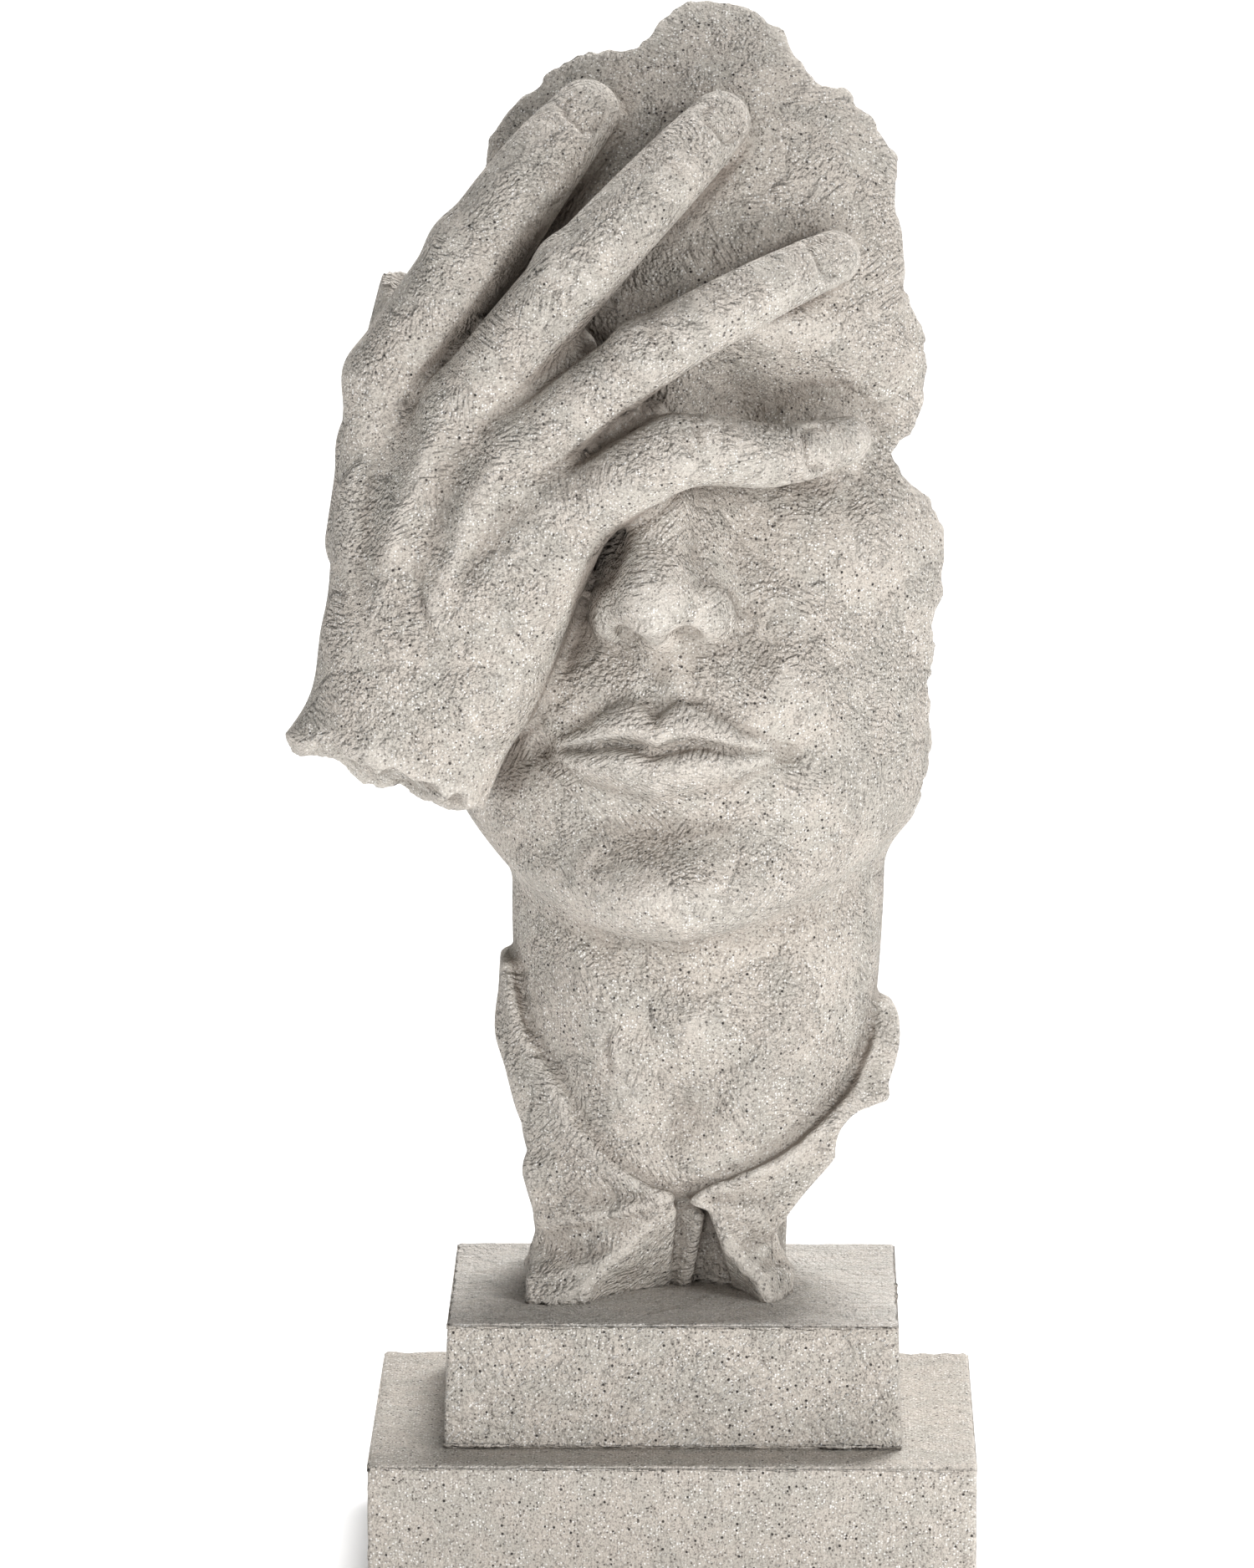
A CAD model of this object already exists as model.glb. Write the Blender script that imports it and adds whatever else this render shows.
"""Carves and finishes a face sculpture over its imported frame: a broken mask with a hand laid over its eyes,
on a neck in an open shirt collar, standing on two stepped plinth blocks."""

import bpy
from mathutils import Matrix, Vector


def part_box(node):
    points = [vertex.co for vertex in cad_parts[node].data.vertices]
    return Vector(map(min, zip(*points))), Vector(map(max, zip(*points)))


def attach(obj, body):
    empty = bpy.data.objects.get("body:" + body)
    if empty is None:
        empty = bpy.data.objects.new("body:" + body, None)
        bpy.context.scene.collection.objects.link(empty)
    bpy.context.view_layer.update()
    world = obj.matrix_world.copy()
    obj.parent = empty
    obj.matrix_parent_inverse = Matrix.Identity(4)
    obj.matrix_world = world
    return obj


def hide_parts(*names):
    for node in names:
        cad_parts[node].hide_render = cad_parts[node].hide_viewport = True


bl_info = {
    "name": "Face Sculpture",
    "version": (1, 0, 0),
    "blender": (4, 5, 0),
    "location": "3D View > Sidebar > Sculpture",
    "description": "Carves the broken face, its hand and collar in speckled stone, with two plinth blocks",
    "category": "Add Mesh",
}

import math

import bmesh
import bpy
import numpy as np
from bpy.props import FloatProperty, FloatVectorProperty, IntProperty, PointerProperty
from mathutils import Euler, Vector

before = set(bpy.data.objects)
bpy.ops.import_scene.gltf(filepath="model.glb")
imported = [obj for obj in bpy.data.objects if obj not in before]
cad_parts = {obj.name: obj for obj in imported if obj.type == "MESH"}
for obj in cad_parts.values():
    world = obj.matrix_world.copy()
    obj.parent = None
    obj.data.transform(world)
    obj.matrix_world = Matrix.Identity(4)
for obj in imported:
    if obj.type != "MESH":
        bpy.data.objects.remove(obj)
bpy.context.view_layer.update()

MM = 0.001
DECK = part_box("plinth_upper_block")[1].z / MM


# Forms. A form takes arrays x, y and z in millimetres and gives the distance to its surface, below zero
# inside. They follow the solid figure's own forms and add what is too fine for it.
def length(*parts):
    return np.sqrt(sum(part * part for part in parts))


def bell(value):
    return np.exp(-value * value)


def ball(centre, radius):
    return lambda x, y, z: length(x - centre[0], y - centre[1], z - centre[2]) - radius


def egg(centre, radii):
    def form(x, y, z):
        px, py, pz = ((v - c) / r for v, c, r in zip((x, y, z), centre, radii))
        size = length(px, py, pz)
        return size * (size - 1) / (length(px / radii[0], py / radii[1], pz / radii[2]) + 1e-9)
    return form


def limb(a, b, radius_a, radius_b):
    """A rod with round ends."""
    u = np.subtract(b, a).astype(float)
    square = float(u @ u)

    def form(x, y, z):
        px, py, pz = x - a[0], y - a[1], z - a[2]
        t = np.clip((px * u[0] + py * u[1] + pz * u[2]) / square, 0, 1)
        return length(px - u[0] * t, py - u[1] * t, pz - u[2] * t) - (radius_a + (radius_b - radius_a) * t)
    return form


def plate(a, b, c, half):
    """A triangular plate with round edges."""
    corners = np.array([a, b, c], float)
    sides = np.roll(corners, -1, axis=0) - corners
    normal = np.cross(sides[0], -sides[2])
    walls = np.cross(sides, normal)
    square = float(normal @ normal)

    def form(x, y, z):
        inside = np.ones(x.shape, bool)
        edge = np.full(x.shape, 1e12)
        for corner, side, wall in zip(corners, sides, walls):
            px, py, pz = x - corner[0], y - corner[1], z - corner[2]
            inside &= px * wall[0] + py * wall[1] + pz * wall[2] <= 0
            t = np.clip((px * side[0] + py * side[1] + pz * side[2]) / float(side @ side), 0, 1)
            dx, dy, dz = px - side[0] * t, py - side[1] * t, pz - side[2] * t
            edge = np.minimum(edge, dx * dx + dy * dy + dz * dz)
        off = (x - a[0]) * normal[0] + (y - a[1]) * normal[1] + (z - a[2]) * normal[2]
        return np.sqrt(np.where(inside, off * off / square, edge)) - half
    return form


def soften(a, b, k):
    """How much is filled in or taken off where two surfaces meet, within a distance k of each other."""
    h = np.maximum(k - np.abs(a - b), 0) / k
    return h * h * k * 0.25


def joined(a, b, k):
    return np.minimum(a, b) - soften(a, b, k)


def common(a, b, k):
    return np.maximum(a, b) + soften(a, b, k)


def join(k, *forms):
    def form(x, y, z):
        d = forms[0](x, y, z)
        for other in forms[1:]:
            d = joined(d, other(x, y, z), k)
        return d
    return form


def bent(k, a, b, c, radii):
    """A rod with one bend."""
    return join(k, limb(a, b, *radii[:2]), limb(b, c, *radii[1:]))


def mirrored(form):
    return lambda x, y, z: form(np.abs(x), y, z)


def within(low, high, form, far=12.0):
    """The same form, worked out in full only near the box it lies in."""
    def boxed(x, y, z):
        gaps = [np.maximum(np.maximum(low[i] - v, v - high[i]), 0) for i, v in enumerate((x, y, z))]
        d = length(*gaps)
        near = d <= far
        if near.any():
            d[near] = form(x[near], y[near], z[near])
        return d
    return boxed


def through(stations):
    """A smooth curve through (place, value) stations, level beyond both ends."""
    t, v = np.array(stations, float).T
    last = len(t) - 1
    before, after = np.maximum(np.arange(last + 1) - 1, 0), np.minimum(np.arange(last + 1) + 1, last)
    slopes = (v[after] - v[before]) / (t[after] - t[before])

    def curve(place):
        p = np.clip(place, t[0], t[-1])
        i = np.clip(np.searchsorted(t, p), 1, last)
        w = t[i] - t[i - 1]
        u = (p - t[i - 1]) / w
        ease = u * u * (3 - 2 * u)
        return (v[i - 1] + (v[i] - v[i - 1]) * ease
                + w * u * (1 - u) * (slopes[i - 1] * (1 - u) - slopes[i] * u))
    return curve


def placed(form, at, degrees):
    """A form made in its own frame, turned about X, Y and Z and set down at a place."""
    turn = np.linalg.inv(np.array(Euler([math.radians(d) for d in degrees], "ZYX").to_matrix()))

    def moved(x, y, z):
        p = (x - at[0], y - at[1], z - at[2])
        return form(*(row[0] * p[0] + row[1] * p[1] + row[2] * p[2] for row in turn))
    return moved


class Grain:
    """Smooth seeded noise between -1 and 1, with lumps of one size in millimetres."""

    def __init__(self, seed, size):
        self.table = np.random.default_rng(seed).uniform(-1, 1, (32, 32, 32))
        self.size = size

    def __call__(self, x, y, z):
        total = np.zeros(np.shape(x))
        cells, parts = [], []
        for v in (x, y, z):
            v = v / self.size
            floor = np.floor(v)
            u = v - floor
            cells.append(floor.astype(int))
            parts.append(u * u * (3 - 2 * u))
        for corner in range(8):
            step = [corner >> 2 & 1, corner >> 1 & 1, corner & 1]
            i, j, k = ((cell + s) & 31 for cell, s in zip(cells, step))
            share = 1.0
            for part, s in zip(parts, step):
                share = share * (part if s else 1 - part)
            total += self.table[i, j, k] * share
        return total


# The head, in a frame of its own: x across the face, y back into it, z up, zero at the front of the brow.
HEAD_AT, HEAD_TURNS = (-2, -27, 271), (-8, 0.5, -7)
SHELL, LEAST_SHELL, BACK_PLANE = 8, 5.5, 37
HEAD_SQUARENESS = 2.25
JAW_FRONT, JAW_SLOPE, JAW_STEEPNESS, JAW_ROUND = 8, 0.42, 1.085, 15
THIRD = 64
CHIN, NOSE_BASE = -2 * THIRD, -THIRD
MOUTH_LINE = -86.5

# By height: half the head's width, the line of its front and the distance from there to its widest part.
half_width = through([
    (CHIN - 5, 13), (CHIN, 25), (-120, 35), (-110, 43.5), (-98, 51), (-84, 56), (-68, 59.5), (-48, 63),
    (-25, 65), (0, 66), (30, 66), (60, 62), (80, 54)])
front_line = through([
    (CHIN - 5, 14), (CHIN, 5), (-119, 0.5), (-105, 1), (-88, -1), (-74, -1.5), (NOSE_BASE, 1), (-48, 5),
    (-30, 8), (-14, 7), (0, 1), (12, 0.5), (28, 3.5), (46, 10), (64, 19), (80, 31)])
cheek_depth = through([(CHIN, 46), (-100, 58), (-60, 64), (0, 70), (50, 64), (80, 52)])

# Soft rises and hollows, in pairs: across, up, spread across, spread up, height.
SWELLS = [
    (20, 3, 15, 6, 3.2), (0, 2, 8, 7, 1.2), (28, -17, 15, 10, -8), (14, -15, 6, 9, -4.5),
    (56, 14, 12, 24, -3), (41, -42, 15, 12, 4.5), (46, -78, 13, 20, -3.5), (0, -78, 20, 15, 3.2),
    (27, -88, 6, 6, -2.6), (0, -104, 15, 5, -3.6), (0, -118, 14, 9, 4.2), (20, 36, 18, 15, 1.8),
    (51, -96, 12, 14, 1.5), (20, -66, 5, 8, -1.4), (29, -70, 7, 12, 1.8)]


def swell(x, z):
    total = np.zeros(x.shape)
    for across, up, spread, rise, height in SWELLS:
        lift = height * bell((z - up) / rise)
        total += lift * bell((x - across) / spread)
        if across:
            total += lift * bell((x + across) / spread)
    return total


def philtrum(x, z):
    """The gutter between the nose and the upper lip."""
    apart = 3.4 - (z + 66) * 0.16
    return bell((z + 71) / 6) * (0.6 * bell((np.abs(x) - apart) / 2.2) - 0.5 * bell(x / 3))


# Closed lips as a relief on the skin. Heights are measured from the parting line, and places across the mouth
# from its middle. A roll is the profile of one lip, from 0 at the parting line to 1 at the lip's edge.
UPPER_LIFT, LOWER_LIFT, CORNER_PLACE = 4.6, 5.2, 25.6
lip_line = through([(0, -0.9), (4, 0.2), (9, 0.7), (16, -0.2), (24.5, -0.8)])
upper_edge = through([(0, 6.9), (4.6, 8.6), (10, 7.2), (17, 4.1), (23, 1.5), (26, 0.9)])
lower_edge = through([(0, 9.6), (7, 9.4), (13, 7.6), (19, 4.6), (23.5, 1.8), (26, 0.9)])
upper_roll = through([
    (-0.35, 0), (0, 0.28), (0.28, 0.88), (0.48, 1), (0.78, 0.78), (0.98, 0.52), (1.12, 0.12), (1.3, 0)])
lower_roll = through([
    (-0.35, 0), (0, 0.26), (0.24, 0.84), (0.45, 1), (0.72, 0.88), (0.94, 0.52), (1.1, 0.1), (1.3, 0)])
lip_height = through([(0, 1), (8, 0.96), (15, 0.72), (21, 0.38), (25, 0.1), (27, 0)])


def lips(x, z):
    """The relief of the two lips, with a dimple at each corner and the line between them."""
    away = np.abs(x)
    line = MOUTH_LINE + lip_line(away)
    upper = upper_roll((z - line) / upper_edge(away)) * (UPPER_LIFT + 0.8 * bell(x / 3.4))
    lower = lower_roll((line - z) / lower_edge(away)) * (LOWER_LIFT + 0.5 * bell((away - 7) / 5))
    corner = -1.8 * bell((away - CORNER_PLACE) / 2.6) * bell((z - MOUTH_LINE + 0.9) / 2.2)
    crease = -0.9 * bell((z - line) / 1.1) * np.clip((27 - away) / 6, 0, 1)
    return np.maximum(upper, lower) * lip_height(away) + corner + crease


def squared(u, v, squareness):
    """The size of the squared oval that a point lies on."""
    return (np.abs(u) ** squareness + np.abs(v) ** squareness) ** (1 / squareness)


def head_form(x, y, z):
    """The plain head: a stack of squared ovals, cut off below by the underside of the jaw."""
    across, back = half_width(z), cheek_depth(z)
    size = squared(x / across, (y - front_line(z) - back) / back, HEAD_SQUARENESS)
    jaw = (-(z - CHIN + 4) + JAW_SLOPE * (y - JAW_FRONT)) / JAW_STEEPNESS
    return common((size - 1) * np.minimum(across, back), jaw, JAW_ROUND)


def face_form():
    """The head with its nose, mouth and closed eyes."""
    bridge = join(9, limb((0, 9, -4), (0, -11.5, -47), 6, 6), mirrored(limb((4, 11, -22), (7, 1, -50), 6, 7)))
    wing = mirrored(placed(egg((0, 0, 0), (4.8, 9, 6.2)), (10, -3.4, -57), (-12, 0, -18)))
    tip = join(7, egg((0, -14.2, -53.6), (7.2, 7.4, 7)),
               limb((0, -14.6, -58.4), (0, -1, -62.6), 3, 4.6), wing)
    crease = mirrored(bent(1, (11, -9.5, -50.4), (15.2, -3.5, -50), (17.4, 2.5, -57), (0.3, 0.8, 1.3)))
    nostrils = mirrored(placed(egg((0, 0, 0), (2.9, 5.8, 3.8)), (5.9, -8.8, -63.4), (16, 0, -18)))
    lids = mirrored(ball((29, 25, -20), 13))
    fold = mirrored(bent(1, (16, 14, -15), (28, 8.6, -9.6), (42, 14, -13.5), (0.9, 1.2, 0.9)))
    lash = mirrored(bent(1, (16, 15, -23), (29, 11.4, -27), (43, 16, -23.5), (0.9, 1, 0.8)))

    def skin(x, y, z):
        d = head_form(x, y, z) - swell(x, z) - philtrum(x, z) - lips(x, z)
        d = joined(d, lids(x, y, z), 4)
        d = common(common(d, -fold(x, y, z), 2.5), -lash(x, y, z), 2)
        d = joined(d, bridge(x, y, z), 9)
        d = joined(d, tip(x, y, z), 5)
        d = common(d, -crease(x, y, z), 2.6)
        return common(d, -nostrils(x, y, z), 2)
    return skin


# The edge along which the mask is broken, seen from the front in the sculpture's frame.
BREAK_X, BREAK_Z = 4, 236
BREAK_EDGE = [
    (11, 341), (17.5, 339.5), (23, 335), (27, 328.5), (30, 324.5), (37, 322), (42.5, 316), (48, 307.5),
    (48.5, 298), (51, 281), (54.5, 274), (56, 267), (55, 255), (51.5, 248.5), (47, 244.5), (49.5, 240),
    (56, 233), (57.8, 221), (56, 206), (58.2, 200), (56.2, 193), (57.2, 187), (55, 172.5), (51, 162),
    (47, 152), (46, 140), (40, 115), (4, 100), (-40, 115), (-44, 140), (-42.5, 150), (-45, 158),
    (-47.5, 166), (-50.5, 175), (-55, 190), (-57, 210), (-57, 250), (-56, 276), (-53.5, 284), (-49.5, 292),
    (-47.5, 297.5), (-43, 299.5), (-41, 305.5), (-40.5, 312), (-35.5, 318.5), (-25.5, 326), (-15.8, 330.5),
    (-8, 331.5), (-1.5, 338.5), (4, 341)]
ring = sorted((math.atan2(x - BREAK_X, z - BREAK_Z), math.hypot(x - BREAK_X, z - BREAK_Z))
              for x, z in BREAK_EDGE)
ring_angles, ring_radii = np.array(ring).T

# The break's face leans outwards behind the skin. Seen from the side it runs in scallops, each given by its
# height, its rate in radians a millimetre and its start. The sides reach back to here, by height.
BREAK_FLARE, BREAK_ROUND, BREAK_INSET = 0.75, 1, 0.3
SCALLOPS = [(1.6, 0.31, 0), (1.1, 0.83, 1)]
side_reach = through([(140, 33), (158, 27), (176, 19), (200, 13), (240, 10), (290, 12), (340, 20)])
fracture_coarse, fracture_fine = Grain(11, 5.2), Grain(12, 2.3)


def fracture(x, y, z):
    """The roughness of a broken face."""
    return 1.2 * fracture_coarse(x, y, z) + 0.9 * fracture_fine(x, y, z)


def mask_form():
    """The face as a shell with a hollow behind it, broken off along the edge."""
    outer = placed(face_form(), HEAD_AT, HEAD_TURNS)
    core = placed(head_form, HEAD_AT, HEAD_TURNS)

    def form(x, y, z):
        skin, body = outer(x, y, z), core(x, y, z)
        hollow = common(body + SHELL, skin + LEAST_SHELL, 4)
        shell = common(skin, -hollow, 3)
        angle = np.arctan2(x - BREAK_X, z - BREAK_Z)
        radius = np.interp(angle, ring_angles, ring_radii, period=2 * math.pi)
        rough = fracture(x, y, z)
        out = length(x - BREAK_X, z - BREAK_Z) - radius
        edge = out - BREAK_FLARE * body + rough + BREAK_INSET
        scallops = sum(height * np.sin(z * turns + start) for height, turns, start in SCALLOPS)
        side = y - side_reach(z) - scallops + rough
        return common(common(shell, 0.75 * edge, BREAK_ROUND), 0.9 * side, BREAK_ROUND)
    return form


def crest(line, width, height):
    """A soft ridge or furrow seen from the front, along a line of (x, z) points, fading out at both ends."""
    def relief(x, z):
        away, along = np.full(x.shape, 1e6), np.zeros(x.shape)
        for i, ((ax, az), (bx, bz)) in enumerate(zip(line, line[1:])):
            ux, uz = bx - ax, bz - az
            t = np.clip(((x - ax) * ux + (z - az) * uz) / (ux * ux + uz * uz), 0, 1)
            off = length(x - ax - ux * t, z - az - uz * t)
            along = np.where(off < away, (i + t) / (len(line) - 1), along)
            away = np.minimum(away, off)
        return height * bell(away / width) * (1 - (2 * along - 1) ** 4)
    return relief


def tube(points, radii, pieces, k):
    """A smooth round bar through some points."""
    tracks = [through(list(enumerate(values))) for values in (*zip(*points), radii)]
    stops = np.linspace(0, len(points) - 1, pieces + 1)
    x, y, z, r = (track(stops) for track in tracks)
    at = list(zip(x, y, z))
    return join(k, *(limb(at[i], at[i + 1], r[i], r[i + 1]) for i in range(pieces)))


# The hand. Each finger runs through its knuckle, its two joints and its tip, with its radius at each.
FINGERS = {
    "index": ([(-61.5, -20, 262), (-42.2, -24, 289), (-28.8, -20, 307.4), (-19, -11, 318)],
              [9.2, 9.8, 8.8, 7.3]),
    "middle": ([(-44.4, -31, 257.4), (-20.4, -38, 287), (0, -29, 308), (9.6, -16.5, 316.8)],
               [8.9, 8.6, 7.7, 6.6]),
    "ring": ([(-31.5, -38, 249.5), (-5.4, -45, 270.4), (18.3, -39, 283.2), (33.9, -25, 288.8)],
             [7.9, 7.4, 6.6, 5.8]),
    "little": ([(-21, -41, 236.5), (1.2, -47, 250), (21, -38, 248.1), (37, -26, 249.8)],
               [8.3, 7.8, 6.8, 5.1]),
}
# Tendons on the back of the hand, the hollows between them and one fine crease: line, width and height.
TENDONS = [
    ([(-69, 246), (-69.8, 231), (-70.9, 206)], 3.2, 1.1),
    ([(-49, 258), (-55.6, 242.6), (-59, 234.6), (-61.4, 226), (-65, 208)], 3.3, 1.7),
    ([(-35.5, 252), (-43.3, 238.6), (-49, 222), (-53, 208)], 3.4, 1.7),
    ([(-23, 243), (-34, 229), (-50, 210)], 3.4, 1.3),
    ([(-64, 252), (-65, 218)], 4, -1.1),
    ([(-46, 252), (-52, 220)], 4, -1.2),
    ([(-33, 240), (-44, 220)], 4, -0.9),
    ([(-54.4, 226), (-53.4, 217), (-50.6, 208)], 1.3, -0.7),
]
# Wrinkles over the finger joints, and one fold of skin between the ring and the little finger.
WRINKLES = [
    ([(-1.8, 257.4), (-1.4, 254), (-0.6, 250.8)], 0.8, -0.55),
    ([(1.6, 257.6), (2.6, 253.6), (4.2, 249.6)], 0.9, -0.75),
    ([(4.4, 257.2), (5.2, 254), (6.2, 250.6)], 0.8, -0.55),
    ([(-9.4, 276.6), (-8, 273.2), (-5.4, 270.6)], 0.9, -0.5),
    ([(-5.4, 277.2), (-4, 273.6), (-1.2, 270.4)], 0.9, -0.6),
    ([(-2.2, 277), (-0.6, 273), (1.8, 269.4)], 0.9, -0.45),
    ([(-33.4, 311.6), (-31.4, 314.4), (-29.4, 316.4)], 0.8, -0.4),
    ([(-28.4, 309.4), (-26.6, 313), (-25, 316.4)], 0.8, -0.35),
    ([(-2.8, 311.6), (0.2, 309.6), (2.4, 306)], 0.9, -0.4),
    ([(-24.4, 290.6), (-21.4, 289), (-18, 284.6)], 1.1, -0.5),
    ([(-22, 293), (-18.4, 290.8), (-15.2, 286.4)], 1, -0.4),
    ([(-8.6, 259.6), (-12.4, 255.4), (-17.8, 248.6)], 0.9, -0.9),
]
# Each nail: its middle, the way it points, the way across it, its length and its width. Then the roundness of
# the nails' corners, how far in depth their relief reaches, and the heights of its three parts.
NAILS = [
    ((-19.2, -18.6, 319), (4.8, 6, 4.1), (7.4, 1.1, -3.4), 9.4, 8.4),
    ((10, -23.5, 317.1), (4.8, 9.2, 3.4), (5.5, -0.8, -6.6), 10.8, 8.6),
    ((33, -31.8, 290), (8, 7.3, 0.6), (2.5, -4, -7), 10.4, 8.2),
    ((30.7, -37, 249.6), (7.5, 4.7, 0.1), (1.4, -2.4, -8.9), 8.6, 8.8),
]
NAIL_CORNER, NAIL_REACH = 2.6, 5
NAIL_SUNK, NAIL_FOLD, NAIL_GROOVE = 0.5, 0.45, 0.7


def nail_relief(middle, along, across, long, wide):
    """The nail lies a little below the fold of skin round it, behind a groove."""
    u = np.array(along, float) / np.linalg.norm(along)
    v = np.array(across, float) - u * np.dot(across, u)
    v /= np.linalg.norm(v)

    def relief(x, y, z):
        p = (x - middle[0], y - middle[1], z - middle[2])
        pu, pv, pw = (sum(a * b for a, b in zip(p, axis)) for axis in (u, v, np.cross(u, v)))
        out = length(np.maximum(np.abs(pu) - long / 2 + NAIL_CORNER, 0),
                     np.maximum(np.abs(pv) - wide / 2 + NAIL_CORNER, 0)) - NAIL_CORNER
        sunk = NAIL_SUNK * np.clip(0.5 - out / 0.8, 0, 1) * np.clip(0.6 - pu / long, 0.25, 1)
        fold = NAIL_FOLD * bell((out - 1) / 0.9) * np.clip(0.7 - pu / long, 0, 1)
        groove = NAIL_GROOVE * bell(out / 0.6) * np.clip(0.9 - 2 * pu / long, 0, 1)
        return np.where(np.abs(pw) < NAIL_REACH, fold - sunk - groove, 0)
    return relief


# Where the wrist and the thumb are broken off: a point of the break and the way it faces. Then the depth at
# which the relief on the back of the hand begins, and the depth over which it grows to full height.
WRIST_BREAK = (-66.6, -32, 179.9), (-0.37, -0.3, -0.88)
THUMB_BREAK = (-58, 5, 279.5), (0.35, -0.25, 0.85)
RELIEF_FROM, RELIEF_FADE = -20, 10


def past(point, way):
    """How far a place lies beyond a plane."""
    return lambda x, y, z: (x - point[0]) * way[0] + (y - point[1]) * way[1] + (z - point[2]) * way[2]


def hand_form():
    """The hand, with its fingers bent over the brow and the wrist and thumb broken off."""
    fingers = [tube(joints, radii, 12, 0.05) for joints, radii in FINGERS.values()]
    knuckles = [ball(np.add(joints[1], (-1.2, -0.4, 0.6)), radii[1] - 0.2)
                for joints, radii in FINGERS.values()]
    roots = [(-61.5, -26, 205), (-58, -29, 203), (-50, -31, 201), (-41.5, -32, 200)]
    bones = [limb(root, joints[0], 12.8, 8.8) for root, (joints, _) in zip(roots, FINGERS.values())]
    wrist = [
        limb(roots[0], (-64, -28, 187), 12, 12),
        limb((-66, -28, 193), (-78, -29, 181), 9, 7.5),
        limb(roots[1], (-62, -32, 173), 13, 12),
        limb(roots[3], (-52, -33, 167), 12, 9),
    ]
    thumb = bent(3, (-64.5, -15, 226), (-62.5, -12, 246), (-53.5, 8, 292), (10.5, 9.5, 6.8))
    webs = [limb((-18, -35, 244), (-5, -38, 255.5), 6.5, 4.6), limb((-36, -32, 258), (-21, -34, 270), 7, 4.8),
            limb((-3, -38, 215), (-3, -38, 220), 2.6, 2.6)]
    palm = join(7, *bones, *wrist, egg((-45, -25, 221), (24, 15, 32)))
    past_wrist, past_thumb = past(*WRIST_BREAK), past(*THUMB_BREAK)

    def broken_thumb(x, y, z):
        return common(thumb(x, y, z), past_thumb(x, y, z) + fracture(x, y, z), 0.8)

    body = join(2.5, palm, broken_thumb, *webs, join(2, *knuckles, *fingers))
    lines = [crest(*row) for row in TENDONS + WRINKLES]
    nails = [nail_relief(*nail) for nail in NAILS]

    def form(x, y, z):
        relief = sum(line(x, z) for line in lines)
        relief = relief * np.clip((RELIEF_FROM - y) / RELIEF_FADE, 0, 1)
        relief = relief + sum(nail(x, y, z) for nail in nails)
        ripple = 0.9 * np.sin(x * 0.42 + 1) + 0.5 * np.sin(x * 0.93 + y * 0.3) + 1.1 * fracture(x, y, z)
        return common(body(x, y, z) - relief, past_wrist(x, y, z) + ripple, 1)

    return within((-92, -60, 160), (46, 22, 330), form)


# The neck, by height: half its width, the line of its front and its middle.
NECK_DEPTH, NECK_SQUARENESS, NECK_TOP = 34, 2.2, 172
neck_width = through([
    (56, 21), (66, 22), (74, 25), (80, 29), (86, 32.5), (92, 35), (100, 37), (108, 38.5), (126, 39.8),
    (145, 40.5), (175, 40)])
neck_front = through([
    (56, 7), (66, 5), (74, -1), (79, -7.5), (83, -14), (88, -17), (96, -18.3), (104, -19), (125, -21),
    (145, -20), (175, -14)])
neck_middle = through([(56, -4), (80, -1), (105, 3.5), (145, 5), (175, 5)])
neck_mark = crest([(-13.6, 120), (-14.4, 116), (-13.7, 112.6), (-14.2, 109.8)], 0.6, -0.9)


def neck_form(x, y, z):
    """The half neck, with its two cords, the pit between them, the throat and one tool mark."""
    wide, middle = neck_width(z), neck_middle(z)
    size = squared((x - middle) / wide, (y - neck_front(z) - NECK_DEPTH) / NECK_DEPTH, NECK_SQUARENESS)
    cords = sum(bell((x - middle - side * (9 + (z - 95) * 0.42)) / 7) for side in (-1, 1))
    cords *= 2.2 * bell((z - 118) / 26)
    pit = 3.2 * bell((x - middle + 1) / 8) * bell((z - 99) / 9)
    throat = 2.6 * bell((x - middle) / 7) * bell((z - 122) / 8)
    column = (size - 1) * np.minimum(wide, NECK_DEPTH) - cords + pit - throat - neck_mark(x, z) * (y < 0)
    return common(common(column, y - BACK_PLANE, 2), z - NECK_TOP, 6)


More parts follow.
